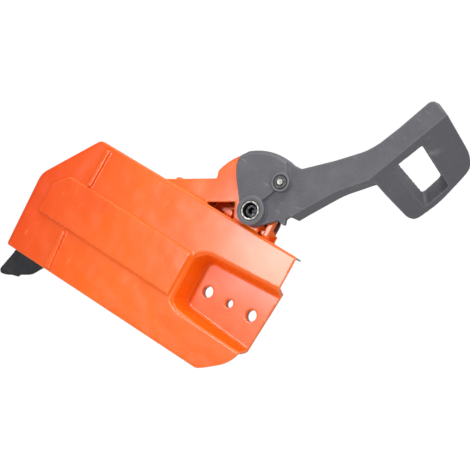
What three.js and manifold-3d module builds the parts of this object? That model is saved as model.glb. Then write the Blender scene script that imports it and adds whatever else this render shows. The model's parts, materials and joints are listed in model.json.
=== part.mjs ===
// Clutch side cover of a chainsaw, with its chain brake and its front hand guard.
//
// Millimetres. +X runs forward along the cover, +Y runs inward to the saw, +Z is up.
// The origin lies on the face that clamps the guide bar, halfway between the two bar stud holes.
// Outlines are drawn in the XZ plane and extruded along Y.

import * as THREE from 'three';
import { mergeVertices } from 'three/addons/utils/BufferGeometryUtils.js';
import Module from 'manifold-3d';

const wasm = await Module();
wasm.setup();

// ---------------------------------------------------------------------------------------------
// Driving dimensions
// ---------------------------------------------------------------------------------------------

const GAP = 0.3; // clearance that fixed neighbours keep
const THROUGH = 60; // length of a cutter that has to pass right through

const STUD_SPACING = 41;
const BAR_RISE = 3.6; // degrees that the line of the studs, and the guide bar with it, rises forward
const STUD_HOLE_R = 4.5;
const TENSIONER_HOLE_R = 3.2;

// Levels of the casting, from the outside inward
const PANEL_Y = -25.3; // raised panel on the outer skin
const SKIN_Y = -23.5; // outer skin
const WALL = 2.6; // thickness of the casting
const PAD_Y = -6; // outer face of the bar pad, at the bottom of its recess
const PAD_INNER_Y = -1.5; // inner face of the bar pad
const RIM_Y = 14; // inner rim of the side walls
const DRAFT = 0.065; // how much the side walls lean in, for each millimetre of depth

// Ends of the cover
const COVER_FRONT = 37;
const COVER_TOP = 56; // above the bar pad
const FRONT_DRAFT = 0.2; // how much the front edge falls back, for each millimetre of depth
const WALL_END_TOP = 11; // where the top wall stops
const WALL_END_BOTTOM = -6; // where the bottom wall stops

// Clutch drum that the cover encloses, and the brake band around it
const DRUM = { x: -100, z: -3 };
const BAND_THICKNESS = 1.4;
const BAND_Y = [-18.4, -5.6];
const BAND_TAIL_ANGLE = 345; // degrees, where the band is anchored

// Line that the band's free end is pulled along, tangent to the drum
const PULL_ANGLE = 28.2;
const PULL_Y = -10.5; // depth of the spring's centre line
const KNEE_END = { x: -44.3, z: 72.7 }; // pin that joins the puller to the knee links
const CHANNEL_HALF = 6; // half the width of the spring channel
const CHANNEL_WALL = 1.5;

// Brake housing above the cover
const HOUSING_Y = -20.5; // outer face
const HOUSING_FACE = 2.5; // thickness of the outer face
const HOUSING_RIM_Y = -3.5; // inner rim, which the cover plate closes
const WEB_Y = -4.9; // outer face of the web behind the opening
const BOSS_Y = -16.2; // inner face of the boss around the guard's axis
const HOUSING_ARC = [163.5, 104]; // degrees that the housing's back runs between
const CHANNEL_SHOULDER = -6.9; // where the channel's top wall meets the housing's back
const HOUSING_R = 46.2; // radius of the housing's back about the guard's axis
const HOUSING_WALL = 2.2; // thickness of the housing's back

// Hand guard
const PIVOT = { x: -11.5, z: 69 }; // axis that the guard turns about
const GUARD_PIN = { x: -2, z: 98 }; // pin that ties the guard to the knee lever
const GUARD_INNER_Y = HOUSING_Y - GAP;
const GUARD_Y = -25.5; // outer face of the arm
const CHEEK_Y = -28.5; // outer face of the raised cheek
const HUB_Y = -30.5; // outer face of the hub collar
const HUB_R = 11;
const GUARD_R = 46; // radius of the cheek about the pivot
const FLANGE_Y = -7.5; // depth that the arm's flanges reach
const RIB_Y = -12; // depth that the ribs between them reach
const PANEL_CORNER = { x: 64.2, y: GUARD_Y, z: 150.5 }; // where the arm meets the hand panel
const PANEL_LEAN = 67.9; // degrees that the hand panel rises above +X
const PANEL_TURN = 8; // degrees that its far end leads forward
const HAND_PANEL_THICKNESS = 12;

// Sleeve, screw and knee
const SLEEVE_R = 6.8;
const SLEEVE_FLANGE_R = 7.4;
const SLEEVE_INNER_R = 6;
const BORE_R = SLEEVE_R + GAP;
const LEVER_Y = [-12.3, -8.9];
const KNEE_ARM = 18;
const LINK_OUTER_Y = [-15.2, -12.6];
const LINK_INNER_Y = [-8.6, -6.2];
const KNEE_PIN_Y = [-16.4, -5.3];
const KNEE_PIN_R = 2.2;
const KNEE_END_SLACK = 1.7; // play of the puller's pin in the links
const GUARD_PIN_R = 2.4;

// ---------------------------------------------------------------------------------------------
// Materials
// ---------------------------------------------------------------------------------------------

const material = (color, roughness, metalness) =>
  new THREE.MeshStandardMaterial({ color, roughness, metalness });

const orangePaint = material(0xf2622a, 0.38, 0.1);
const greyPlastic = material(0x5e6066, 0.62, 0);
const blackRubber = material(0x24262b, 0.8, 0);
const blackPlastic = material(0x1b1c1f, 0.5, 0);
const brightSteel = material(0xc8c6c0, 0.3, 0.9);
const darkSteel = material(0x3a3b3d, 0.45, 0.8);
const platedSteel = material(0xa9abad, 0.4, 0.85);
const springSteel = material(0x6f7276, 0.4, 0.9);

// ---------------------------------------------------------------------------------------------
// Geometry helpers
// ---------------------------------------------------------------------------------------------

const radians = THREE.MathUtils.degToRad;

// Point at a distance and an angle from a centre, in the XZ plane.
function polar(centre, radius, degrees) {
  const a = radians(degrees);
  return { x: centre.x + radius * Math.cos(a), z: centre.z + radius * Math.sin(a) };
}

// Points of an arc, as corners for outline().
function arcPoints(centre, radius, from, to, steps) {
  const points = [];
  for (let i = 0; i <= steps; i++) {
    const p = polar(centre, radius, from + ((to - from) * i) / steps);
    points.push([p.x, p.z]);
  }
  return points;
}

// Closed outline from corners [x, z] or [x, z, radius]. A rounding never takes more than
// 45% of either side of its corner.
function outline(corners) {
  const shape = new THREE.Shape();
  const at = (i) => new THREE.Vector2(...corners[(i + corners.length) % corners.length]);
  corners.forEach(([x, z, radius = 0], i) => {
    const corner = new THREE.Vector2(x, z);
    const toBefore = at(i - 1).sub(corner);
    const toAfter = at(i + 1).sub(corner);
    const reach = Math.min(radius, 0.45 * toBefore.length(), 0.45 * toAfter.length());
    const before = toBefore.setLength(reach).add(corner);
    const after = toAfter.setLength(reach).add(corner);
    if (i === 0) shape.moveTo(before.x, before.y);
    else shape.lineTo(before.x, before.y);
    if (reach > 0) shape.quadraticCurveTo(corner.x, corner.y, after.x, after.y);
  });
  shape.closePath();
  return shape;
}

function circle(centre, radius) {
  const shape = new THREE.Shape();
  shape.absarc(centre.x, centre.z, radius, 0, Math.PI * 2);
  return shape;
}

// Manifold solid from a closed three.js geometry.
function solid(geometry) {
  const bare = geometry.clone();
  bare.deleteAttribute('normal');
  bare.deleteAttribute('uv');
  const merged = mergeVertices(bare, 1e-4);
  const vertProperties = new Float32Array(merged.attributes.position.array);
  const triVerts = new Uint32Array(merged.index.array);
  return new wasm.Manifold(new wasm.Mesh({ numProp: 3, vertProperties, triVerts }));
}

// Extrusion of an XZ outline between two depths.
function plateGeometry(shape, yOuter, yInner, curveSegments = 4) {
  const depth = yInner - yOuter;
  const geometry = new THREE.ExtrudeGeometry(shape, { depth, bevelEnabled: false, curveSegments });
  geometry.rotateX(Math.PI / 2);
  geometry.translate(0, yInner, 0);
  return geometry;
}

const plate = (shape, yOuter, yInner, curveSegments) =>
  solid(plateGeometry(shape, yOuter, yInner, curveSegments));

const slab = (corners, yOuter, yInner) => plate(outline(corners), yOuter, yInner);

// Cylinder along Y. A full circle takes two chords for each curve segment.
const rod = (centre, radius, yOuter, yInner, sides = 24) =>
  plate(circle(centre, radius), yOuter, yInner, sides / 2);

// Cylinder along Z, at a point of the XY plane.
function upright(centre, radius, zLow, zHigh, sides = 16) {
  const geometry = new THREE.CylinderGeometry(radius, radius, zHigh - zLow, sides);
  geometry.rotateX(Math.PI / 2);
  geometry.translate(centre.x, centre.y, (zLow + zHigh) / 2);
  return solid(geometry);
}

// Body whose outline changes from one depth to the other; both outlines have the same corners.
function loftGeometry(outerCorners, yOuter, innerCorners, yInner, curveSegments = 3) {
  const geometry = plateGeometry(outline(outerCorners), yOuter, yInner, curveSegments);
  const from = outline(outerCorners).extractPoints(curveSegments).shape;
  const to = outline(innerCorners).extractPoints(curveSegments).shape;
  const position = geometry.attributes.position;
  for (let i = 0; i < position.count; i++) {
    if (Math.abs(position.getY(i) - yInner) > 1e-3) continue;
    const here = new THREE.Vector2(position.getX(i), position.getZ(i));
    const k = from.findIndex((p) => p.distanceTo(here) < 1e-3);
    position.setX(i, to[k].x);
    position.setZ(i, to[k].y);
  }
  return geometry;
}

const loft = (...sections) => solid(loftGeometry(...sections));

// Round body about an axis parallel to Y, from a profile of [radius, y] points.
function turned(centre, profile, sides = 24) {
  const points = profile.map(([r, y]) => new THREE.Vector2(r, y));
  const geometry = new THREE.LatheGeometry([...points, points[0]], sides);
  geometry.translate(centre.x, 0, centre.z);
  return solid(geometry);
}

// Straight strip in the XZ plane from one point to another, as outline corners.
function strip(a, b, halfWidth) {
  const along = new THREE.Vector2(b.x - a.x, b.z - a.z).normalize();
  const side = new THREE.Vector2(-along.y, along.x).multiplyScalar(halfWidth);
  return [
    [a.x - side.x, a.z - side.y],
    [b.x - side.x, b.z - side.y],
    [b.x + side.x, b.z + side.y],
    [a.x + side.x, a.z + side.y],
  ];
}

// Arm with round ends between two points.
function arm(a, b, radiusA, radiusB, [yOuter, yInner]) {
  const neck = strip(a, b, Math.min(radiusA, radiusB));
  return rod(a, radiusA, yOuter, yInner)
    .add(rod(b, radiusB, yOuter, yInner))
    .add(slab(neck, yOuter, yInner));
}

// Ring sector about a centre.
function sector(centre, inner, outer, from, to, yOuter, yInner, steps = 16) {
  const corners = [
    ...arcPoints(centre, inner, from, to, steps).reverse(),
    ...arcPoints(centre, outer, from, to, steps),
  ];
  return slab(corners, yOuter, yInner);
}

const object = new THREE.Group();

function addPart(name, shape, surface) {
  const mesh = shape.getMesh();
  const geometry = new THREE.BufferGeometry();
  geometry.setAttribute('position', new THREE.BufferAttribute(mesh.vertProperties, 3));
  geometry.setIndex(new THREE.BufferAttribute(mesh.triVerts, 1));
  const part = new THREE.Mesh(geometry, surface);
  part.name = name;
  object.add(part);
}

// ---------------------------------------------------------------------------------------------
// Places along the pull line
// ---------------------------------------------------------------------------------------------

const pull = new THREE.Vector2(Math.cos(radians(PULL_ANGLE)), Math.sin(radians(PULL_ANGLE)));
const drumToKnee = new THREE.Vector2(KNEE_END.x - DRUM.x, KNEE_END.z - DRUM.z);
const BAND_R = Math.abs(drumToKnee.cross(pull)); // the pull line is tangent to the band
const BAND_TANGENT = -drumToKnee.dot(pull); // where the band leaves the drum, along the pull line

// Point at a distance along the pull line from the knee's end, and off to its upper side.
function onPull(along, off = 0) {
  return {
    x: KNEE_END.x + along * pull.x - off * pull.y,
    z: KNEE_END.z + along * pull.y + off * pull.x,
  };
}

// Slab across or along the pull line, between two distances and two offsets.
function pullSlab(along, off, yOuter, yInner) {
  const corners = [
    onPull(along[0], off[0]),
    onPull(along[1], off[0]),
    onPull(along[1], off[1]),
    onPull(along[0], off[1]),
  ];
  return slab(corners.map((p) => [p.x, p.z]), yOuter, yInner);
}

// Round piece about the pull line, from a profile of [radius, distance] points.
function pullTurned(profile, sides = 16) {
  const points = profile.map(([r, along]) => new THREE.Vector2(r, along));
  const geometry = new THREE.LatheGeometry([...points, points[0]], sides);
  geometry.rotateZ(-Math.PI / 2);
  geometry.rotateY(-radians(PULL_ANGLE));
  geometry.translate(KNEE_END.x, PULL_Y, KNEE_END.z);
  return solid(geometry);
}

const SPRING_SEAT = -8; // front of the puller's collar, which the spring bears on
const SEAT_THICKNESS = 1.6;
const SEAT_R = 5.6;
const SPRING_FOOT = -37; // rear end of the spring, on its washer
const ROD_END = -50.5; // rear end of the puller's rod
const HOOK = [-60, -50.8]; // hook that holds the band's end

// ---------------------------------------------------------------------------------------------
// Casting
// ---------------------------------------------------------------------------------------------

const tensioner = { x: 0, z: 0 };
const studs = [180, 0].map((side) => polar(tensioner, STUD_SPACING / 2, side + BAR_RISE));

// Screws of the brake cover plate, with the depth where the boss of each begins.
const coverScrews = [
  { x: -33.5, z: 58, bossY: -15 },
  { x: -52, z: 58.8, bossY: -9 },
  { x: -50, z: 88, bossY: HOUSING_Y + 1 },
  { x: -22.5, z: 104.5, bossY: HOUSING_Y + 1 },
  { x: 0.2, z: 60, bossY: HOUSING_Y + 3.5 },
];
const COVER_SCREW_R = 1.6;
const COVER_SCREW_END = -11.5;
const BOSS_R = 3.6;

const linerScrew = { x: -25, y: -15 };
const barPlateScrews = [
  { x: -25, z: -13.5 },
  { x: 25, z: 19 },
];
const deflectorScrews = [
  { x: -140.5, y: -8 },
  { x: -140.5, y: 4 },
];
const anchor = { x: -57.5, z: -15.5 };

// Outline of the cover, long enough in front for the front edge to be cut afterwards. Its rear
// edges may be set in by their own amount.
const coverCorners = (inset, rearInset = inset) => [
  [-188.9 + rearInset, -54.3 + inset, 2],
  [COVER_FRONT + 30, -51 + inset],
  [COVER_FRONT + 30, 57.2 - inset],
  [-158.9 + rearInset * 0.6, 55 - inset, 3],
  [-193 + rearInset, 8 - rearInset * 0.3, 5],
];

// The skin's edge is rounded, and most at the rear: its steps, as depth, inset and rear inset.
const crownSteps = [
  [0, 1, 4.2],
  [0.9, 0, 1.8],
  [2.2, 0, 0.5],
  [4, 0, 0],
];

function buildShell() {
  const lean = DRAFT * (RIM_Y - SKIN_Y);
  const [lowest] = crownSteps.slice(-1);
  let shell = loft(coverCorners(0), SKIN_Y + lowest[0], coverCorners(lean), RIM_Y);
  crownSteps.slice(1).forEach(([depth, inset, rearInset], i) => {
    const [depthAbove, insetAbove, rearInsetAbove] = crownSteps[i];
    const step = loft(
      coverCorners(insetAbove, rearInsetAbove),
      SKIN_Y + depthAbove,
      coverCorners(inset, rearInset),
      SKIN_Y + depth
    );
    shell = shell.add(step);
  });
  const hollow = loft(coverCorners(WALL, 4), SKIN_Y + WALL, coverCorners(WALL + lean), RIM_Y + 0.5);
  return shell.subtract(hollow);
}

// Everything forward of the cover's front edge, which falls back with depth.
function buildFrontCut() {
  const edgeAt = (y) => {
    const back = FRONT_DRAFT * (y - SKIN_Y);
    return [
      [36 - back, 90],
      [37.6 - back, 30],
      [35.5 - back, -23],
      [33.8 - back, -30, 6],
      [28.6 - back, -38, 5],
      [13.6 - back, -50.2, 8],
      [4 - back, -54.6],
      [4 - back, -90],
      [120, -90],
      [120, 90],
    ];
  };
  return loft(edgeAt(-THROUGH), -THROUGH, edgeAt(THROUGH), THROUGH);
}

// The walls stop short of the front, which the guide bar and the chain leave through.
const barGateTop = slab(
  [
    [WALL_END_TOP, COVER_TOP - WALL - 6],
    [90, COVER_TOP - WALL - 6],
    [90, 90],
    [WALL_END_TOP, 90],
  ],
  SKIN_Y + WALL,
  THROUGH
);
const barGateBottom = slab(
  [
    [WALL_END_BOTTOM, -90],
    [90, -90],
    [90, -28],
    [WALL_END_BOTTOM, -28],
  ],
  SKIN_Y + WALL,
  THROUGH
);

// Chips leave through the bottom wall at the rear.
const chipGate = slab(
  [
    [-182, -60],
    [-147, -60],
    [-147, -47],
    [-182, -47],
  ],
  SKIN_Y + WALL + 1.5,
  THROUGH
);

function buildRaisedFace() {
  const rise = SKIN_Y - PANEL_Y;
  const top = [
    [-175.4, -17, 2],
    [-39.2, -17, 1],
    [-39.2, 18, 1],
    [-165.5, 18, 2],
    [-175.4, 6.2, 2],
  ];
  const foot = [
    [-176.4, -18, 2],
    [-38.2, -18, 1],
    [-38.2, 19, 1],
    [-166, 19, 2],
    [-176.4, 6.6, 2],
  ];
  const panel = loft(top, PANEL_Y, foot, PANEL_Y + rise + 1, 2);
  const ribs = [
    [
      [-148, 20],
      [-144.6, 20],
      [-144.6, 51.5, 1.6],
      [-148, 51.5, 1.6],
    ],
    [
      [-145.6, -51],
      [-140.8, -51],
      [-144.6, -20.5, 1.2],
      [-147.4, -20.5, 1.2],
    ],
  ];
  return ribs.reduce((all, rib) => all.add(slab(rib, PANEL_Y, SKIN_Y + 1)), panel);
}

// Recess that the bar nuts sit in: its mouth in the skin, and its floor.
const recessMouth = [
  [-34.6, -19.4, 3],
  [-26, -23.4, 4],
  [COVER_FRONT + 20, -23.6],
  [COVER_FRONT + 20, 31.2],
  [-26.6, 25, 4],
  [-36.4, 18.4, 5],
];
const recessFloor = [
  [-31.8, -15, 2],
  [-27, -18.6, 2],
  [COVER_FRONT + 20, -23],
  [COVER_FRONT + 20, 26.4],
  [-27.6, 19.9, 2],
  [-32.6, 13.2, 2],
];

// Outline of the recess, set out from its middle by the same amount on every side.
const grown = (corners, by) =>
  corners.map(([x, z, r = 0]) => [x + Math.sign(x) * by, z + Math.sign(z) * by, r]);

function buildRecess(casting) {
  const lip = 1.3;
  const tub = loft(grown(recessMouth, WALL), SKIN_Y + 0.4, grown(recessFloor, WALL), PAD_INNER_Y);
  const space = loft(grown(recessMouth, 0.4), SKIN_Y - 2.2, recessFloor, PAD_Y);
  const chamfer = loft(grown(recessMouth, lip), SKIN_Y - 0.05, recessMouth, SKIN_Y + lip);
  return casting.add(tub).subtract(space).subtract(chamfer);
}

// Ribs, bosses and the band's anchor on the inside of the skin.
function buildInnerRibs() {
  const floor = SKIN_Y + WALL - 0.4;
  const ring = sector(DRUM, 43.4, 45.4, 128, 322, floor, -13);
  const rearRib = slab(strip({ x: -188.5, z: -10 }, { x: -143, z: -4 }, 1), floor, -14);
  const topRib = slab(strip({ x: -128, z: 54 }, { x: -121, z: 36 }, 1), floor, -14);
  const lowRib = slab(strip({ x: -78, z: -51 }, { x: -82, z: -42 }, 1), floor, -14);
  const padRib = slab(strip({ x: -36, z: -16 }, { x: -52, z: -22 }, 1.2), floor, -6);
  const anchorBoss = rod(anchor, 5, floor, BAND_Y[0] - 0.4);
  return ring.add(rearRib).add(topRib).add(lowRib).add(padRib).add(anchorBoss);
}

// Outer face of the brake housing, with the opening below the spring channel.
function housingFace() {
  const shoulder = onPull(CHANNEL_SHOULDER, CHANNEL_HALF + CHANNEL_WALL);
  const face = [
    [-100, 51],
    [shoulder.x, shoulder.z],
    ...arcPoints(PIVOT, HOUSING_R, ...HOUSING_ARC, 10),
    [-8.5, 104],
    [-6.6, 92],
    [-2, 80],
    [2.5, 76.5],
    [6.7, 71.5],
    [6.7, 54],
  ];
  const opening = [
    [-58.5, COVER_TOP - 2.8],
    [-30.7, 68],
    [-22.8, COVER_TOP - 2.8],
  ];
  return slab(face, HOUSING_Y, HOUSING_Y + HOUSING_FACE).subtract(slab(opening, -THROUGH, THROUGH));
}

function buildHousing() {
  const foot = COVER_TOP - WALL;
  const channel = CHANNEL_HALF + CHANNEL_WALL;
  const shoulder = onPull(CHANNEL_SHOULDER, channel);
  const wallEnd = onPull(CHANNEL_SHOULDER, CHANNEL_HALF + 0.1);
  const stepFoot = onPull(CHANNEL_SHOULDER + 1.8, CHANNEL_HALF + 0.1);
  const backStart = polar(PIVOT, HOUSING_R - HOUSING_WALL / 2, HOUSING_ARC[0]);
  const channelTop = pullSlab(
    [-64, CHANNEL_SHOULDER],
    [CHANNEL_HALF, channel],
    HOUSING_Y,
    HOUSING_RIM_Y
  );
  const channelLow = pullSlab([-36, -1.5], [-9, -CHANNEL_HALF], HOUSING_Y, HOUSING_RIM_Y);
  const back = sector(
    PIVOT,
    HOUSING_R - HOUSING_WALL,
    HOUSING_R,
    ...HOUSING_ARC,
    HOUSING_Y,
    HOUSING_RIM_Y,
    10
  );
  const step = slab(
    [
      [shoulder.x, shoulder.z],
      [wallEnd.x, wallEnd.z],
      [stepFoot.x, stepFoot.z],
      [backStart.x + 1, backStart.z + 1],
      [backStart.x - 1.1, backStart.z],
    ],
    HOUSING_Y,
    HOUSING_RIM_Y
  );
  const wall = slab(strip({ x: -28, z: 65 }, { x: -21.9, z: foot }, 1.1), HOUSING_Y, HOUSING_RIM_Y);
  const post = slab(
    [
      [3, foot],
      [6.7, foot],
      [6.7, 71.5],
      [3, 71.5],
    ],
    HOUSING_Y,
    HOUSING_Y + 4.7
  );
  const web = slab(
    [
      [-64, foot],
      [-31, 68.5],
      [-26, 68.5],
      [-20, foot],
    ],
    WEB_Y,
    HOUSING_RIM_Y
  );
  const sill = slab(
    [
      [-24, foot],
      [6.7, foot],
      [6.7, 61],
      [-24, 61],
    ],
    WEB_Y,
    HOUSING_RIM_Y
  );
  const pivotBoss = rod(PIVOT, 13, HOUSING_Y, BOSS_Y, 32);
  const slot = [
    [-0.6, foot],
    [-3.4, 61],
    [1.9, 69],
    [3, foot],
  ];
  const bosses = coverScrews.map((p) => rod(p, BOSS_R, p.bossY, HOUSING_RIM_Y, 16));
  const stop = pullSlab([-41, -38.2], [-9, 9], HOUSING_Y + 1, HOUSING_RIM_Y);
  const walls = [channelTop, channelLow, back, step, wall, post, web, sill, stop];
  return [...walls, pivotBoss, ...bosses]
    .reduce((all, piece) => all.add(piece), housingFace())
    .subtract(slab(slot, HOUSING_Y - 1, BOSS_Y + 0.1));
}

function buildCasting() {
  const channel = pullSlab([-72, -13], [-CHANNEL_HALF, CHANNEL_HALF], -18, HOUSING_RIM_Y);
  const notch = pullSlab([-58, -22], [-CHANNEL_HALF, CHANNEL_HALF], HOUSING_RIM_Y - 1, THROUGH);
  const stopPlate = pullSlab([-41, -38.2], [-CHANNEL_HALF - 1, CHANNEL_HALF + 1], -18.5, HOUSING_RIM_Y);
  const rodSlot = pullSlab([-43, -36], [-2.7, 2.7], PULL_Y - 2.7, THROUGH);
  const bossBlock = slab(
    [
      [-23, COVER_TOP - WALL],
      [-5, COVER_TOP - WALL],
      [-4.4, 62],
      [-22, 62],
    ],
    HOUSING_Y,
    BOSS_Y
  );

  let casting = buildShell().subtract(barGateTop).subtract(barGateBottom).subtract(chipGate);
  casting = casting.add(buildRaisedFace());
  casting = buildRecess(casting).subtract(buildFrontCut());
  casting = casting.add(buildInnerRibs()).add(buildHousing()).add(bossBlock);
  casting = casting.subtract(channel).subtract(notch).add(stopPlate).subtract(rodSlot);

  const holes = [
    ...coverScrews.map((p) => rod(p, COVER_SCREW_R + GAP, COVER_SCREW_END - GAP, 0, 16)),
    ...studs.map((p) => rod(p, STUD_HOLE_R, -THROUGH, THROUGH)),
    ...barPlateScrews.map((p) => rod(p, 1.9, -4.9, THROUGH, 16)),
    ...deflectorScrews.map((p) => upright(p, 1.9, -60, -46)),
    upright(linerScrew, 1.8, 50, 54.9),
    rod(tensioner, TENSIONER_HOLE_R, -THROUGH, THROUGH, 16),
    rod(PIVOT, BORE_R, -THROUGH, -10),
    rod(anchor, 2.4, SKIN_Y + WALL, THROUGH, 16),
  ];
  return holes.reduce((all, hole) => all.subtract(hole), casting);
}

addPart('clutch_cover', buildCasting(), orangePaint);

// ---------------------------------------------------------------------------------------------
// Bar plate, liner strip and chip deflector
// ---------------------------------------------------------------------------------------------

function buildBarPlate() {
  const blank = slab(
    [
      [-31.5, -16, 3],
      [-27, -19.5, 2],
      [29.8, -22, 2],
      [29.8, 25, 2],
      [-27.5, 20.5, 2],
      [-32, 14, 2],
    ],
    PAD_INNER_Y + GAP,
    0
  );
  const holes = [
    ...studs.map((p) => rod(p, STUD_HOLE_R + 0.1, -THROUGH, THROUGH)),
    rod(tensioner, TENSIONER_HOLE_R + 0.2, -THROUGH, THROUGH, 16),
    ...barPlateScrews.map((p) => rod(p, 3.5, -THROUGH, THROUGH, 16)),
  ];
  return holes.reduce((all, hole) => all.subtract(hole), blank);
}

addPart('bar_plate', buildBarPlate(), platedSteel);

const flushScrew = [
  [0, -4.6],
  [1.6, -4.6],
  [1.6, -1.3],
  [3.2, 0],
  [0, 0],
];
barPlateScrews.forEach((p, i) => {
  addPart(`bar_plate_screw_${i + 1}`, turned(p, flushScrew, 12), platedSteel);
});

// Steel strip under the top wall, stepped up where the wall ends.
function buildLiner() {
  const profile = [
    [-40, 50.9],
    [12.4, 50.9, 1],
    [19, 54.7, 1],
    [34.8, 54.7],
    [34.8, 55.7],
    [18.5, 55.7, 1],
    [11.8, 51.9, 1],
    [-40, 51.9],
  ];
  return slab(profile, SKIN_Y + WALL + GAP, -9).subtract(upright(linerScrew, 1.8, 50, 53));
}

addPart('chain_liner_strip', buildLiner(), platedSteel);
addPart(
  'liner_screw',
  upright(linerScrew, 1.5, 50, 54.6).add(upright(linerScrew, 3, 49.2, 50.6)),
  platedSteel
);

function buildDeflector() {
  const flap = slab(
    [
      [-179.5, -45],
      [-180.6, -57, 4],
      [-184.8, -74.8, 2],
      [-182, -77.2, 2],
      [-176.5, -75.6, 4],
      [-156.4, -64.4, 4],
      [-152, -57, 4],
      [-147.6, -51],
      [-147.4, -47.4],
      [-134, -47.4],
      [-134, -45],
    ],
    -18.6,
    -15.6
  );
  const rear = slab(
    [
      [-179.5, -45],
      [-180.6, -57, 4],
      [-184.8, -74.8, 2],
      [-182, -77.2, 2],
      [-177.4, -57, 4],
      [-176.5, -45],
    ],
    -18.6,
    8
  );
  const flange = slab(
    [
      [-147.4, -47.4],
      [-134, -47.4],
      [-134, -45],
      [-147.4, -45],
    ],
    -18.6,
    8
  );
  const holes = deflectorScrews.map((p) => upright(p, 1.9, -50, -40));
  return holes.reduce((all, hole) => all.subtract(hole), flap.add(rear).add(flange));
}

addPart('chip_deflector', buildDeflector(), blackRubber);

deflectorScrews.forEach((p, i) => {
  const screw = upright(p, 1.6, -53.5, -44).add(upright(p, 3.2, -44.7, -42.6));
  addPart(`deflector_screw_${i + 1}`, screw, platedSteel);
});

// ---------------------------------------------------------------------------------------------
// Brake band and spring
// ---------------------------------------------------------------------------------------------

function buildBand() {
  const half = BAND_THICKNESS / 2;
  const [outer, inner] = BAND_Y;
  const wrap = sector(
    DRUM,
    BAND_R - half,
    BAND_R + half,
    PULL_ANGLE + 90,
    BAND_TAIL_ANGLE,
    outer,
    inner,
    44
  );
  const straight = pullSlab([BAND_TANGENT - 0.01, HOOK[0] - GAP], [-half, half], outer, inner);
  const tail = polar(DRUM, BAND_R, BAND_TAIL_ANGLE);
  const lead = slab(strip(tail, anchor, 1), outer, inner);
  const eye = rod(anchor, 4.2, outer, inner);
  const bore = rod(anchor, 2.7, -THROUGH, THROUGH);
  return wrap.add(straight).add(lead).add(eye).subtract(bore);
}

addPart('brake_band', buildBand(), springSteel);

const anchorPin = [
  [0, -20.6],
  [2.1, -20.6],
  [2.1, -5.3],
  [4.4, -5.3],
  [4.4, -4.2],
  [3.6, -3.4],
  [0, -3.4],
];
addPart('band_anchor_pin', turned(anchor, anchorPin, 16), platedSteel);

const springFootWasher = [
  [2.7, SPRING_FOOT - 1],
  [SEAT_R, SPRING_FOOT - 1],
  [SEAT_R, SPRING_FOOT - 0.1],
  [2.7, SPRING_FOOT - 0.1],
];
addPart('spring_washer', pullTurned(springFootWasher), platedSteel);

class Helix extends THREE.Curve {
  constructor(radius, length, turns) {
    super();
    this.radius = radius;
    this.length = length;
    this.turns = turns;
  }

  getPoint(t, target = new THREE.Vector3()) {
    const a = t * this.turns * Math.PI * 2;
    return target.set(this.length * t, this.radius * Math.cos(a), this.radius * Math.sin(a));
  }
}

function buildSpring() {
  const wire = 0.8;
  const turns = 8;
  const length = SPRING_SEAT - SEAT_THICKNESS - SPRING_FOOT - 2 * (wire + GAP);
  const section = circle({ x: 0, z: 0 }, wire);
  const extrudePath = new Helix(4.4, length, turns);
  const geometry = new THREE.ExtrudeGeometry(section, {
    steps: turns * 10,
    curveSegments: 3,
    extrudePath,
  });
  geometry.rotateY(-radians(PULL_ANGLE));
  const foot = onPull(SPRING_FOOT + wire + GAP);
  geometry.translate(foot.x, PULL_Y, foot.z);
  return solid(geometry);
}

addPart('brake_spring', buildSpring(), springSteel);

// ---------------------------------------------------------------------------------------------
// Puller
// ---------------------------------------------------------------------------------------------

function buildPuller() {
  const profile = [
    [0, ROD_END],
    [2.2, ROD_END],
    [2.2, SPRING_SEAT - SEAT_THICKNESS],
    [SEAT_R, SPRING_SEAT - SEAT_THICKNESS],
    [SEAT_R, SPRING_SEAT],
    [2.6, SPRING_SEAT + 0.6],
    [0, SPRING_SEAT + 0.6],
  ];
  const head = arm(onPull(SPRING_SEAT + 2), KNEE_END, 3.6, 5.4, [PULL_Y - 1.6, PULL_Y + 1.6]);
  const bore = rod(KNEE_END, KNEE_PIN_R + GAP, -THROUGH, THROUGH);
  return pullTurned(profile).add(head).subtract(bore);
}

addPart('band_puller', buildPuller(), platedSteel);

function buildHook() {
  const block = pullSlab(HOOK, [-2.4, 2.4], -16.5, -4.5);
  const relief = pullSlab([HOOK[0] + 2.5, HOOK[1] - 2.5], [0.8, 3], -14, -7);
  return block.subtract(relief);
}

addPart('band_hook', buildHook(), platedSteel);

const pinProfile = (headR) => [
  [0, KNEE_PIN_Y[0]],
  [headR, KNEE_PIN_Y[0]],
  [headR, KNEE_PIN_Y[0] + 0.9],
  [KNEE_PIN_R, KNEE_PIN_Y[0] + 0.9],
  [KNEE_PIN_R, KNEE_PIN_Y[1] - 0.6],
  [headR, KNEE_PIN_Y[1] - 0.6],
  [headR, KNEE_PIN_Y[1]],
  [0, KNEE_PIN_Y[1]],
];
addPart('puller_pin', turned(KNEE_END, pinProfile(5), 20), brightSteel);

// ---------------------------------------------------------------------------------------------
// Knee: lever and links
// ---------------------------------------------------------------------------------------------

// At rest the short arm and the links lie in one line, so that the spring can't turn the lever.
const kneeLine = new THREE.Vector2(KNEE_END.x - PIVOT.x, KNEE_END.z - PIVOT.z).setLength(KNEE_ARM);
const knee = { x: PIVOT.x + kneeLine.x, z: PIVOT.z + kneeLine.y };

function buildLever() {
  const longArm = arm(PIVOT, GUARD_PIN, HUB_R, 5.2, LEVER_Y);
  const shortArm = arm(PIVOT, knee, HUB_R, 4.8, LEVER_Y);
  return longArm
    .add(shortArm)
    .subtract(rod(PIVOT, BORE_R, -THROUGH, THROUGH))
    .subtract(rod(GUARD_PIN, GUARD_PIN_R + GAP, -THROUGH, THROUGH, 16))
    .subtract(rod(knee, KNEE_PIN_R + GAP, -THROUGH, THROUGH, 16));
}

addPart('knee_lever', buildLever(), darkSteel);
addPart('knee_pin', turned(knee, pinProfile(3.4), 20), brightSteel);

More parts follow.
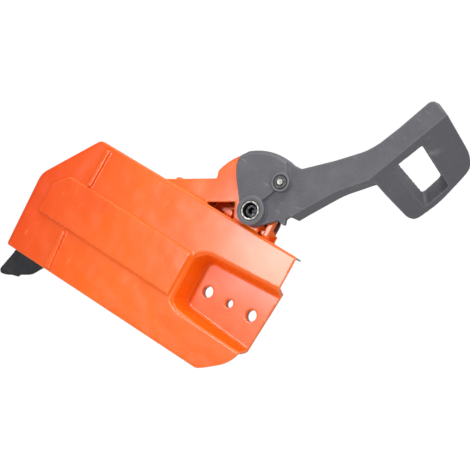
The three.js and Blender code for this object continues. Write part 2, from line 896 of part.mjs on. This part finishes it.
const buildLink = (depths) =>
  arm(knee, KNEE_END, 4.6, 6, depths)
    .subtract(rod(knee, KNEE_PIN_R + GAP, -THROUGH, THROUGH, 16))
    .subtract(rod(KNEE_END, KNEE_PIN_R + KNEE_END_SLACK, -THROUGH, THROUGH));

addPart('knee_link_outer', buildLink(LINK_OUTER_Y), darkSteel);
addPart('knee_link_inner', buildLink(LINK_INNER_Y), darkSteel);

// ---------------------------------------------------------------------------------------------
// Brake cover plate and its screws
// ---------------------------------------------------------------------------------------------

const PLATE_Y = [HOUSING_RIM_Y + GAP, HOUSING_RIM_Y + GAP + 1.2];

function buildCoverPlate() {
  const edge = CHANNEL_HALF + CHANNEL_WALL - 0.4;
  const rear = onPull(-46, edge);
  const shoulder = onPull(CHANNEL_SHOULDER, edge);
  const blank = slab(
    [
      [rear.x, rear.z],
      [shoulder.x, shoulder.z],
      ...arcPoints(PIVOT, HOUSING_R - 0.4, ...HOUSING_ARC, 10),
      [-9, 104, 3],
      [2.6, 90, 4],
      [1, 77, 3],
      [3.6, 68, 2],
      [3.6, 56.8],
      [rear.x + 1, 56.8],
    ],
    ...PLATE_Y
  );
  const holes = [
    ...coverScrews.map((p) => rod(p, COVER_SCREW_R + 0.5, -THROUGH, THROUGH, 16)),
    rod(PIVOT, 3.3, -THROUGH, THROUGH),
  ];
  return holes.reduce((all, hole) => all.subtract(hole), blank);
}

addPart('brake_cover_plate', buildCoverPlate(), platedSteel);

const headY = PLATE_Y[1] + GAP;
const coverScrew = [
  [0, COVER_SCREW_END],
  [COVER_SCREW_R, COVER_SCREW_END],
  [COVER_SCREW_R, headY],
  [3, headY],
  [2.8, headY + 1.3],
  [1.8, headY + 1.9],
  [0, headY + 1.9],
];
coverScrews.forEach((p, i) => {
  addPart(`cover_plate_screw_${i + 1}`, turned(p, coverScrew, 14), platedSteel);
});

// ---------------------------------------------------------------------------------------------
// Sleeve, screw and nut that carry the guard
// ---------------------------------------------------------------------------------------------

const sleeve = [
  [SLEEVE_INNER_R, -30],
  [SLEEVE_FLANGE_R - 0.3, -30],
  [SLEEVE_FLANGE_R, -29.7],
  [SLEEVE_FLANGE_R, -28.9],
  [SLEEVE_R, -28.9],
  [SLEEVE_R, HOUSING_RIM_Y],
  [3.3, HOUSING_RIM_Y],
  [3.3, -21.5],
  [SLEEVE_INNER_R, -21.5],
];
addPart('guard_sleeve', turned(PIVOT, sleeve, 32), brightSteel);

const hexagon = (centre, radius, yOuter, yInner) =>
  slab(arcPoints(centre, radius, 0, 300, 5), yOuter, yInner);

const screw = [
  [0, -27.4],
  [4.3, -27.4],
  [4.8, -26.9],
  [4.8, -21.8],
  [2.9, -21.8],
  [2.9, 4.2],
  [0, 4.2],
];
const socket = hexagon(PIVOT, 2.9, -28.5, -23.8);
addPart('guard_screw', turned(PIVOT, screw, 24).subtract(socket), darkSteel);
addPart(
  'guard_nut',
  hexagon(PIVOT, 5.7, headY, headY + 4.6).subtract(rod(PIVOT, 3.2, -THROUGH, THROUGH)),
  platedSteel
);

// ---------------------------------------------------------------------------------------------
// Hand guard
// ---------------------------------------------------------------------------------------------

// Frame of the hand panel: across, inward (to the back) and up along the panel.
const panelUp = new THREE.Vector3(Math.cos(radians(PANEL_LEAN)), 0, Math.sin(radians(PANEL_LEAN)));
const panelForward = new THREE.Vector3(panelUp.z, 0, -panelUp.x).applyAxisAngle(
  panelUp,
  -radians(PANEL_TURN)
);
const panelAcross = new THREE.Vector3().crossVectors(panelUp, panelForward);
const panelFrame = new THREE.Matrix4()
  .makeBasis(panelAcross, panelForward.clone().negate(), panelUp)
  .setPosition(PANEL_CORNER.x, PANEL_CORNER.y, PANEL_CORNER.z);

function buildHandPanel() {
  const front = [
    [0, -18.7],
    [31, -22.4, 10],
    [82, -27, 9],
    [93.3, -24.8, 8],
    [96.4, -3.4, 10],
    [86, 33.4, 9],
    [66, 41.2, 14],
    [0, 51.8],
  ];
  const face = plateGeometry(outline(front), 0, HAND_PANEL_THICKNESS);
  const mouth = [
    [10.8, -4.2, 3],
    [87, -13, 4],
    [85.6, 12, 4],
    [11.6, 23.6, 3],
  ];
  const exit = [
    [10.8, 1.2, 3],
    [87.6, -7, 4],
    [85.6, 12, 4],
    [11.6, 23.6, 3],
  ];
  const window = loftGeometry(mouth, -0.5, exit, HAND_PANEL_THICKNESS + 0.5);
  return solid(face.applyMatrix4(panelFrame)).subtract(solid(window.applyMatrix4(panelFrame)));
}

const armRear = [
  [25.1, 130.7],
  [42.9, 147.8, 6],
  [49.1, 157.2, 4],
  [56.8, 174.6],
  [66.8, 200.5, 2.5],
];
const armFront = [
  [82.6, 197.6, 1],
  [64.2, 150.5],
  [56.7, 132],
  [38, 113.4, 6],
  [21.1, 87.8],
  [16.9, 80.6],
];

// Rear edge of the cheek, and the start of its top.
const cheekRear = [
  [-22, 66.2],
  [-30.7, 76.8],
  [-38.4, 85.6, 4],
  [-42.4, 92, 3],
  [-43.9, 99.4, 3],
];

function buildArmPlate() {
  const corners = [
    ...cheekRear,
    ...arcPoints(PIVOT, GUARD_R, 126, 77, 9),
    [5.9, 114.1],
    ...armRear,
    [70.5, 203, 2],
    ...armFront,
    [14.2, 76],
    [10.3, 73.6],
    [2.5, 66.2, 3],
    [-4.4, 59.8],
    [PIVOT.x, PIVOT.z],
  ];
  return slab(corners, GUARD_Y, GUARD_INNER_Y);
}

function buildCheek() {
  const foot = [
    ...cheekRear,
    ...arcPoints(PIVOT, GUARD_R, 126, 83, 8),
    [3.4, 101],
    [-3.4, 89.6],
    [-8, 78.6],
    [PIVOT.x, PIVOT.z],
  ];
  const top = [
    [-21, 67],
    [-28.9, 77.4],
    [-36.4, 86.4, 4],
    [-40, 92.6, 3],
    [-41.2, 98.8, 3],
    ...arcPoints(PIVOT, GUARD_R - 2.8, 125.5, 83.5, 8),
    [3.1, 100.6],
    [-3.6, 89.8],
    [-8.2, 78.8],
    [PIVOT.x, PIVOT.z],
  ];
  return loft(top, CHEEK_Y, foot, GUARD_Y + 0.5);
}

// Flanges that stiffen the arm along its front and rear edges, with ribs between them.
function buildFlanges() {
  const front = slab(
    [
      [17.2, 79.4],
      [22, 87.2],
      [38.8, 112.7, 6],
      [56.7, 131.4],
      [54.4, 134],
      [35.6, 115.4, 6],
      [18.6, 89.4],
      [14.4, 82.2],
    ],
    GUARD_Y,
    FLANGE_Y
  );
  const rear = slab(
    [
      [12, 119.2],
      [25.1, 130.7],
      [42.9, 147.8, 6],
      [49.1, 157.2],
      [51.6, 155.6],
      [45.2, 145.9, 6],
      [27.2, 128.5],
      [14, 117],
    ],
    GUARD_Y,
    FLANGE_Y
  );
  const ribs = [
    [
      { x: 22, z: 92 },
      { x: 20, z: 124 },
    ],
    [
      { x: 30, z: 104 },
      { x: 34, z: 137 },
    ],
    [
      { x: 42, z: 119 },
      { x: 47, z: 152 },
    ],
  ].map(([a, b]) => slab(strip(a, b, 1), GUARD_Y, RIB_Y));
  return ribs.reduce((all, rib) => all.add(rib), front.add(rear));
}

function buildGuard() {
  const hub = rod(PIVOT, HUB_R, HUB_Y, GUARD_INNER_Y, 36);
  const boss = rod(GUARD_PIN, 7.2, -29.6, GUARD_INNER_Y);
  const tooth = slab(
    [
      [9.6, 73],
      [15.2, 71.8],
      [16.3, 72.8],
      [14.8, 76.2],
      [12, 77],
    ],
    GUARD_Y,
    GUARD_INNER_Y
  );
  return [buildCheek(), hub, boss, tooth, buildFlanges(), buildHandPanel()]
    .reduce((all, piece) => all.add(piece), buildArmPlate())
    .subtract(rod(PIVOT, BORE_R, -THROUGH, 0, 32))
    .subtract(rod(PIVOT, SLEEVE_FLANGE_R + GAP, -THROUGH, -28.6, 32))
    .subtract(rod(GUARD_PIN, 5.6, -THROUGH, -28.2))
    .subtract(rod(GUARD_PIN, GUARD_PIN_R + GAP, -THROUGH, 0, 16));
}

addPart('hand_guard', buildGuard(), greyPlastic);

const guardPin = [
  [0, -30.2],
  [GUARD_PIN_R - 0.3, -30.2],
  [GUARD_PIN_R, -29.9],
  [GUARD_PIN_R, -8.2],
  [0, -8.2],
];
addPart('guard_pin', turned(GUARD_PIN, guardPin, 16), brightSteel);

const pinRing = [
  [GUARD_PIN_R + GAP, -29.4],
  [4.8, -29.4],
  [5.3, -28.9],
  [5.3, -28.4],
  [GUARD_PIN_R + GAP, -28.4],
];
addPart('guard_pin_ring', turned(GUARD_PIN, pinRing, 24), blackPlastic);

export default object;
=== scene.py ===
"""Clutch side cover of a chainsaw, with its chain brake and hand guard.

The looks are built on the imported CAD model. Lengths are in metres, in that model's frame:
+X forward along the cover, +Y inward to the saw, +Z up.
"""

import json
import math

import bmesh
import bpy
from mathutils import Matrix, Vector

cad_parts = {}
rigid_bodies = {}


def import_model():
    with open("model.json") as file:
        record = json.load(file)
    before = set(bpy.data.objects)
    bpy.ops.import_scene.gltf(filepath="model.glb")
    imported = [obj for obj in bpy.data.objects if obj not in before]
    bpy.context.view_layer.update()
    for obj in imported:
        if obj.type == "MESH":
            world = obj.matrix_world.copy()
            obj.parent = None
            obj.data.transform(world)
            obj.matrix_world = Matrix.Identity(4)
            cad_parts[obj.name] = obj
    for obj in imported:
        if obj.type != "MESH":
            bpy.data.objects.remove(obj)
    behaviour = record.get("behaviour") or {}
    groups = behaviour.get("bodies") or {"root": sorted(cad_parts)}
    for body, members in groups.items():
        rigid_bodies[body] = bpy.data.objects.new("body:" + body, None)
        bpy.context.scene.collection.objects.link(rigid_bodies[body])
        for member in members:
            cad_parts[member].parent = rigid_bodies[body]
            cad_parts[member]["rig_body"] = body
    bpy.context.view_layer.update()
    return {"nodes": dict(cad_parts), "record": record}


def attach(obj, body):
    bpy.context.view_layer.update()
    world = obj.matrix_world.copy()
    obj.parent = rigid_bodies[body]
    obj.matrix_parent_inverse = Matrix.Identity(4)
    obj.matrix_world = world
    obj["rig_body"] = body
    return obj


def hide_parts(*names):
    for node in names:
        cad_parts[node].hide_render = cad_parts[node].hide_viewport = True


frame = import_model()
nodes = frame["nodes"]
MM = 0.001


# ---------------------------------------------------------------------------------------------
# Camera, light and floor
# ---------------------------------------------------------------------------------------------


def view_axes(right, up):
    """Orthonormal right, up and back axes of a camera, from a right axis and a rough up axis."""
    right = Vector(right).normalized()
    back = right.cross(Vector(up)).normalized()
    return right, back.cross(right), back


CAMERA_AT = Vector((0.50504, -1.05716, 0.12736))
CAMERA_LENS = 120.33  # focal length in millimetres, on a 36 mm sensor
RIGHT, UP, BACK = view_axes((0.760, 0.421, 0.496), (-0.471, -0.170, 0.866))
TARGET = Vector((-0.02, -0.01, 0.05))  # what the lights are turned to

BACKGROUND_STRENGTH = 1.02  # of the white ground, as the camera sees it
AMBIENT_STRENGTH = 0.42  # of the light that the surroundings throw on the object
FLOOR_RADIUS = 1.2
FLOOR_HEIGHT = -0.75


def make_camera():
    data = bpy.data.cameras.new("camera")
    data.lens = CAMERA_LENS
    data.sensor_width = 36
    camera = bpy.data.objects.new("camera", data)
    bpy.context.scene.collection.objects.link(camera)
    turn = Matrix((RIGHT, UP, BACK)).transposed().to_4x4()
    camera.matrix_world = Matrix.Translation(CAMERA_AT) @ turn
    bpy.context.scene.camera = camera


def make_softbox(name, right, up, back, size, watts):
    """Square area light, placed from the object along the camera's axes and turned towards it."""
    data = bpy.data.lights.new(name, "AREA")
    data.shape = "SQUARE"
    data.size = size
    data.energy = watts
    light = bpy.data.objects.new(name, data)
    bpy.context.scene.collection.objects.link(light)
    light.location = TARGET + RIGHT * right + UP * up + BACK * back
    light.rotation_euler = (TARGET - light.location).to_track_quat("-Z", "Y").to_euler()


def make_world():
    """White surroundings that light the object more softly than they show."""
    world = bpy.data.worlds.new("studio")
    world.use_nodes = True
    tree = world.node_tree
    tree.nodes.clear()
    seen = tree.nodes.new("ShaderNodeBackground")
    seen.inputs["Color"].default_value = (1, 1, 1, 1)
    seen.inputs["Strength"].default_value = BACKGROUND_STRENGTH
    fill = tree.nodes.new("ShaderNodeBackground")
    fill.inputs["Color"].default_value = (1, 1, 1, 1)
    fill.inputs["Strength"].default_value = AMBIENT_STRENGTH
    path = tree.nodes.new("ShaderNodeLightPath")
    mix = tree.nodes.new("ShaderNodeMixShader")
    output = tree.nodes.new("ShaderNodeOutputWorld")
    tree.links.new(path.outputs["Is Camera Ray"], mix.inputs[0])
    tree.links.new(fill.outputs[0], mix.inputs[1])
    tree.links.new(seen.outputs[0], mix.inputs[2])
    tree.links.new(mix.outputs[0], output.inputs["Surface"])
    bpy.context.scene.world = world


def make_floor():
    """Pale round floor well below the object, seen from above only."""
    mesh = bpy.data.meshes.new("floor")
    rim = bmesh.new()
    bmesh.ops.create_circle(rim, cap_ends=True, radius=FLOOR_RADIUS, segments=96)
    rim.to_mesh(mesh)
    rim.free()
    floor = bpy.data.objects.new("floor", mesh)
    bpy.context.scene.collection.objects.link(floor)
    floor.location = (TARGET.x, TARGET.y, FLOOR_HEIGHT)
    material = bpy.data.materials.new("floor_white")
    material.use_nodes = True
    tree = material.node_tree
    tree.nodes.clear()
    white = tree.nodes.new("ShaderNodeBsdfPrincipled")
    white.inputs["Base Color"].default_value = (0.86, 0.86, 0.86, 1)
    white.inputs["Roughness"].default_value = 0.9
    white.inputs["Emission Color"].default_value = (1, 1, 1, 1)
    white.inputs["Emission Strength"].default_value = 0.25
    clear = tree.nodes.new("ShaderNodeBsdfTransparent")
    geometry = tree.nodes.new("ShaderNodeNewGeometry")
    mix = tree.nodes.new("ShaderNodeMixShader")
    output = tree.nodes.new("ShaderNodeOutputMaterial")
    tree.links.new(geometry.outputs["Backfacing"], mix.inputs[0])
    tree.links.new(white.outputs[0], mix.inputs[1])
    tree.links.new(clear.outputs[0], mix.inputs[2])
    tree.links.new(mix.outputs[0], output.inputs["Surface"])
    mesh.materials.append(material)


make_camera()
make_world()
make_floor()
make_softbox("key_softbox", -0.86, 0.36, 0.80, 0.16, 5.0)
make_softbox("fill_softbox", 0.9, 0.1, 1.0, 0.9, 9)
make_softbox("top_softbox", 0.1, 1.2, 0.3, 0.9, 12)
bpy.context.scene.view_settings.view_transform = "Standard"


# ---------------------------------------------------------------------------------------------
# Materials
# ---------------------------------------------------------------------------------------------


def srgb(red, green, blue):
    """Linear colour from 8-bit screen values."""
    return tuple((value / 255) ** 2.2 for value in (red, green, blue)) + (1,)


class Finish:
    """A Principled material with helpers for the noise that varies it."""

    def __init__(self, name, colour, roughness, metallic=0.0):
        self.material = bpy.data.materials.new(name)
        self.material.use_nodes = True
        self.tree = self.material.node_tree
        self.shader = self.tree.nodes["Principled BSDF"]
        self.shader.inputs["Base Color"].default_value = colour
        self.shader.inputs["Roughness"].default_value = roughness
        self.shader.inputs["Metallic"].default_value = metallic
        self.place = self.tree.nodes.new("ShaderNodeTexCoord").outputs["Object"]
        self.colour = None

    def link(self, output, node, socket):
        """Joins an output to a node's input."""
        self.tree.links.new(output, node.inputs[socket])

    def noise(self, scale, detail, stretch=(1, 1, 1)):
        """Noise with features about 1/scale metres across, stretched along the axes."""
        mapping = self.tree.nodes.new("ShaderNodeMapping")
        mapping.inputs["Scale"].default_value = stretch
        self.link(self.place, mapping, "Vector")
        node = self.tree.nodes.new("ShaderNodeTexNoise")
        node.inputs["Scale"].default_value = scale
        node.inputs["Detail"].default_value = detail
        self.link(mapping.outputs["Vector"], node, "Vector")
        return node.outputs["Fac"]

    def spread(self, value, low, high, to_low=0.0, to_high=1.0):
        """Maps low and high to to_low and to_high, and clamps what lies outside."""
        node = self.tree.nodes.new("ShaderNodeMapRange")
        node.inputs["From Min"].default_value = low
        node.inputs["From Max"].default_value = high
        node.inputs["To Min"].default_value = to_low
        node.inputs["To Max"].default_value = to_high
        self.link(value, node, "Value")
        return node.outputs["Result"]

    def times(self, a, b):
        """Product of two values."""
        node = self.tree.nodes.new("ShaderNodeMath")
        node.operation = "MULTIPLY"
        self.link(a, node, 0)
        self.link(b, node, 1)
        return node.outputs["Value"]

    def tint(self, mask, colour):
        """Lays a colour over what is there already, as far as the mask says."""
        node = self.tree.nodes.new("ShaderNodeMixRGB")
        if self.colour is None:
            node.inputs["Color1"].default_value = self.shader.inputs["Base Color"].default_value
        else:
            self.link(self.colour, node, "Color1")
        node.inputs["Color2"].default_value = colour
        self.link(mask, node, "Fac")
        self.colour = node.outputs["Color"]
        self.link(self.colour, self.shader, "Base Color")

    def vary_roughness(self, value, low, high):
        """Roughness that runs from low to high with a noise."""
        self.link(self.spread(value, 0.35, 0.65, low, high), self.shader, "Roughness")

    def relief(self, *layers):
        """Bump from (noise, height in metres) layers, the coarsest first."""
        normal = None
        for value, height in layers:
            bump = self.tree.nodes.new("ShaderNodeBump")
            bump.inputs["Distance"].default_value = height
            self.link(value, bump, "Height")
            if normal is not None:
                self.link(normal, bump, "Normal")
            normal = bump.outputs["Normal"]
        self.link(normal, self.shader, "Normal")

    def edges(self, low, high, amount):
        """Mask of the convex edges of a dense mesh."""
        geometry = self.tree.nodes.new("ShaderNodeNewGeometry")
        return self.spread(geometry.outputs["Pointiness"], low, high, 0, amount)

    def painted_rear_shade(self, start, end, amount):
        """Mask of painted shade that grows towards the rear, between two distances behind the
        origin.
        """
        split = self.tree.nodes.new("ShaderNodeSeparateXYZ")
        self.link(self.place, split, "Vector")
        return self.spread(split.outputs["X"], -start, -end, 0, amount)


def make_orange_paint():
    """Glossy enamel, mottled and scuffed, with edges lightened partly as wear and partly as
    painted highlight, and painted shade that darkens it at the rear.
    """
    finish = Finish("orange_paint", srgb(240, 98, 12), 0.36)
    finish.shader.inputs["Specular IOR Level"].default_value = 0.18
    finish.shader.inputs["Coat Weight"].default_value = 0.3
    finish.shader.inputs["Coat Roughness"].default_value = 0.17
    patches = finish.noise(14, 3)
    finish.tint(finish.spread(patches, 0.42, 0.66, 0, 0.5), srgb(249, 108, 26))
    finish.tint(finish.spread(finish.noise(34, 3), 0.56, 0.72, 0, 0.4), srgb(226, 74, 8))
    # painted shade: the paint turns darker towards the rear, standing in for the light falling
    # off there
    finish.tint(finish.painted_rear_shade(0.1, 0.19, 0.8), srgb(216, 60, 4))
    finish.tint(finish.spread(finish.noise(900, 2), 0.55, 0.75, 0, 0.12), srgb(214, 66, 22))
    scuffs = finish.times(
        finish.spread(finish.noise(260, 4, (1, 1, 0.25)), 0.62, 0.72),
        finish.spread(finish.noise(30, 2), 0.52, 0.62),
    )
    finish.tint(finish.spread(scuffs, 0, 1, 0, 0.3), srgb(255, 160, 112))
    # edges lightened partly as wear on the paint and partly as painted highlight along the
    # rounded edges
    finish.tint(finish.edges(0.508, 0.56, 0.5), srgb(255, 160, 112))
    finish.vary_roughness(finish.noise(60, 3), 0.3, 0.46)
    finish.relief(
        (finish.noise(22, 2), 0.0034),
        (finish.noise(700, 3), 0.00012),
        (finish.noise(2600, 2), 0.00003),
    )
    return finish.material


def make_guard_plastic():
    """Dull grey nylon, speckled and rubbed, and lighter on its edges."""
    finish = Finish("guard_plastic", srgb(84, 84, 90), 0.52)
    finish.tint(finish.spread(finish.noise(18, 3), 0.4, 0.7, 0, 0.3), srgb(100, 100, 104))
    finish.tint(finish.spread(finish.noise(1500, 3), 0.5, 0.72, 0, 0.32), srgb(126, 125, 127))
    rubs = finish.times(
        finish.spread(finish.noise(420, 4, (0.3, 1, 1)), 0.6, 0.7),
        finish.spread(finish.noise(40, 2), 0.5, 0.62),
    )
    finish.tint(finish.spread(rubs, 0, 1, 0, 0.45), srgb(150, 148, 149))
    finish.tint(finish.edges(0.508, 0.56, 0.45), srgb(146, 145, 148))
    finish.vary_roughness(finish.noise(90, 3), 0.5, 0.68)
    finish.relief((finish.noise(60, 2), 0.0005), (finish.noise(1800, 3), 0.00016))
    return finish.material


def make_deflector_rubber():
    """Black rubber with a dusty bloom."""
    finish = Finish("deflector_rubber", srgb(26, 27, 31), 0.5)
    finish.shader.inputs["Specular IOR Level"].default_value = 0.3
    finish.tint(finish.spread(finish.noise(60, 3), 0.4, 0.7, 0, 0.5), srgb(38, 41, 49))
    finish.tint(finish.spread(finish.noise(1200, 2), 0.6, 0.75, 0, 0.3), srgb(70, 72, 78))
    finish.vary_roughness(finish.noise(120, 3), 0.4, 0.6)
    finish.relief((finish.noise(70, 2), 0.0009), (finish.noise(1500, 3), 0.00012))
    return finish.material


def make_black_plastic():
    """Black plastic with a fine grain."""
    finish = Finish("black_plastic", srgb(30, 31, 34), 0.42)
    finish.tint(finish.spread(finish.noise(1800, 2), 0.55, 0.72, 0, 0.4), srgb(66, 68, 72))
    finish.vary_roughness(finish.noise(400, 3), 0.34, 0.5)
    finish.relief((finish.noise(1500, 3), 0.00008))
    return finish.material


def make_steel(name, colour, light, dark, roughness):
    """Steel with a drawn grain across the cover, darker stains and bright rubbed spots."""
    grain = (1, 0.06, 1)
    finish = Finish(name, colour, roughness, 1.0)
    finish.tint(finish.spread(finish.noise(110, 4), 0.45, 0.7, 0, 0.5), dark)
    finish.tint(finish.spread(finish.noise(900, 3), 0.58, 0.72, 0, 0.5), light)
    finish.vary_roughness(finish.noise(500, 3, grain), roughness - 0.08, roughness + 0.12)
    finish.relief((finish.noise(1400, 2, grain), 0.00006))
    return finish.material


finishes = {
    "orange_paint": make_orange_paint(),
    "guard_plastic": make_guard_plastic(),
    "deflector_rubber": make_deflector_rubber(),
    "black_plastic": make_black_plastic(),
    "bright_steel": make_steel(
        "bright_steel", srgb(128, 126, 122), srgb(164, 162, 158), srgb(70, 68, 66), 0.42
    ),
    "dark_steel": make_steel(
        "dark_steel", srgb(58, 58, 60), srgb(104, 104, 106), srgb(34, 34, 36), 0.42
    ),
    "plated_steel": make_steel(
        "plated_steel", srgb(186, 188, 190), srgb(218, 218, 216), srgb(150, 150, 148), 0.34
    ),
    "spring_steel": make_steel(
        "spring_steel", srgb(122, 124, 128), srgb(168, 168, 168), srgb(82, 80, 78), 0.36
    ),
}
slot_of = {part["node"]: part["material_slot"] for part in frame["record"]["subparts"]}


# ---------------------------------------------------------------------------------------------
# CAD nodes that stay
# ---------------------------------------------------------------------------------------------

SHARP_ANGLE = math.radians(40)  # faces that meet at less than this are shaded as one curve


for name, node in nodes.items():
    node.data.materials.clear()
    node.data.materials.append(finishes[slot_of[name]])
    node.data.shade_smooth()
    node.data.set_sharp_from_angle(angle=SHARP_ANGLE)


# ---------------------------------------------------------------------------------------------
# Cast and moulded pieces, with soft edges
# ---------------------------------------------------------------------------------------------


def moulded(name, node_name, voxel, smoothing, faces_kept):
    """Piece that stands for a CAD node: a finer mesh, with edges rounded as in a mould.

    smoothing is the number of rounds, and faces_kept the share of the faces left at the end.
    """
    node = nodes[node_name]
    piece = bpy.data.objects.new(name, node.data.copy())
    bpy.context.scene.collection.objects.link(piece)
    remesh = piece.modifiers.new("remesh", "REMESH")
    remesh.mode = "VOXEL"
    remesh.voxel_size = voxel
    smooth = piece.modifiers.new("smooth", "SMOOTH")
    smooth.factor = 0.5
    smooth.iterations = smoothing
    thin = piece.modifiers.new("thin", "DECIMATE")
    thin.ratio = faces_kept
    depsgraph = bpy.context.evaluated_depsgraph_get()
    mesh = bpy.data.meshes.new_from_object(piece.evaluated_get(depsgraph))
    piece.modifiers.clear()
    piece.data = mesh
    mesh.shade_smooth()
    mesh.materials.clear()
    mesh.materials.append(finishes[slot_of[node_name]])
    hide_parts(node_name)
    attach(piece, node["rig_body"])


moulded("cover_casting", "clutch_cover", 0.6 * MM, 3, 0.35)
moulded("guard_moulding", "hand_guard", 0.6 * MM, 4, 0.35)
moulded("deflector_moulding", "chip_deflector", 0.5 * MM, 6, 0.35)
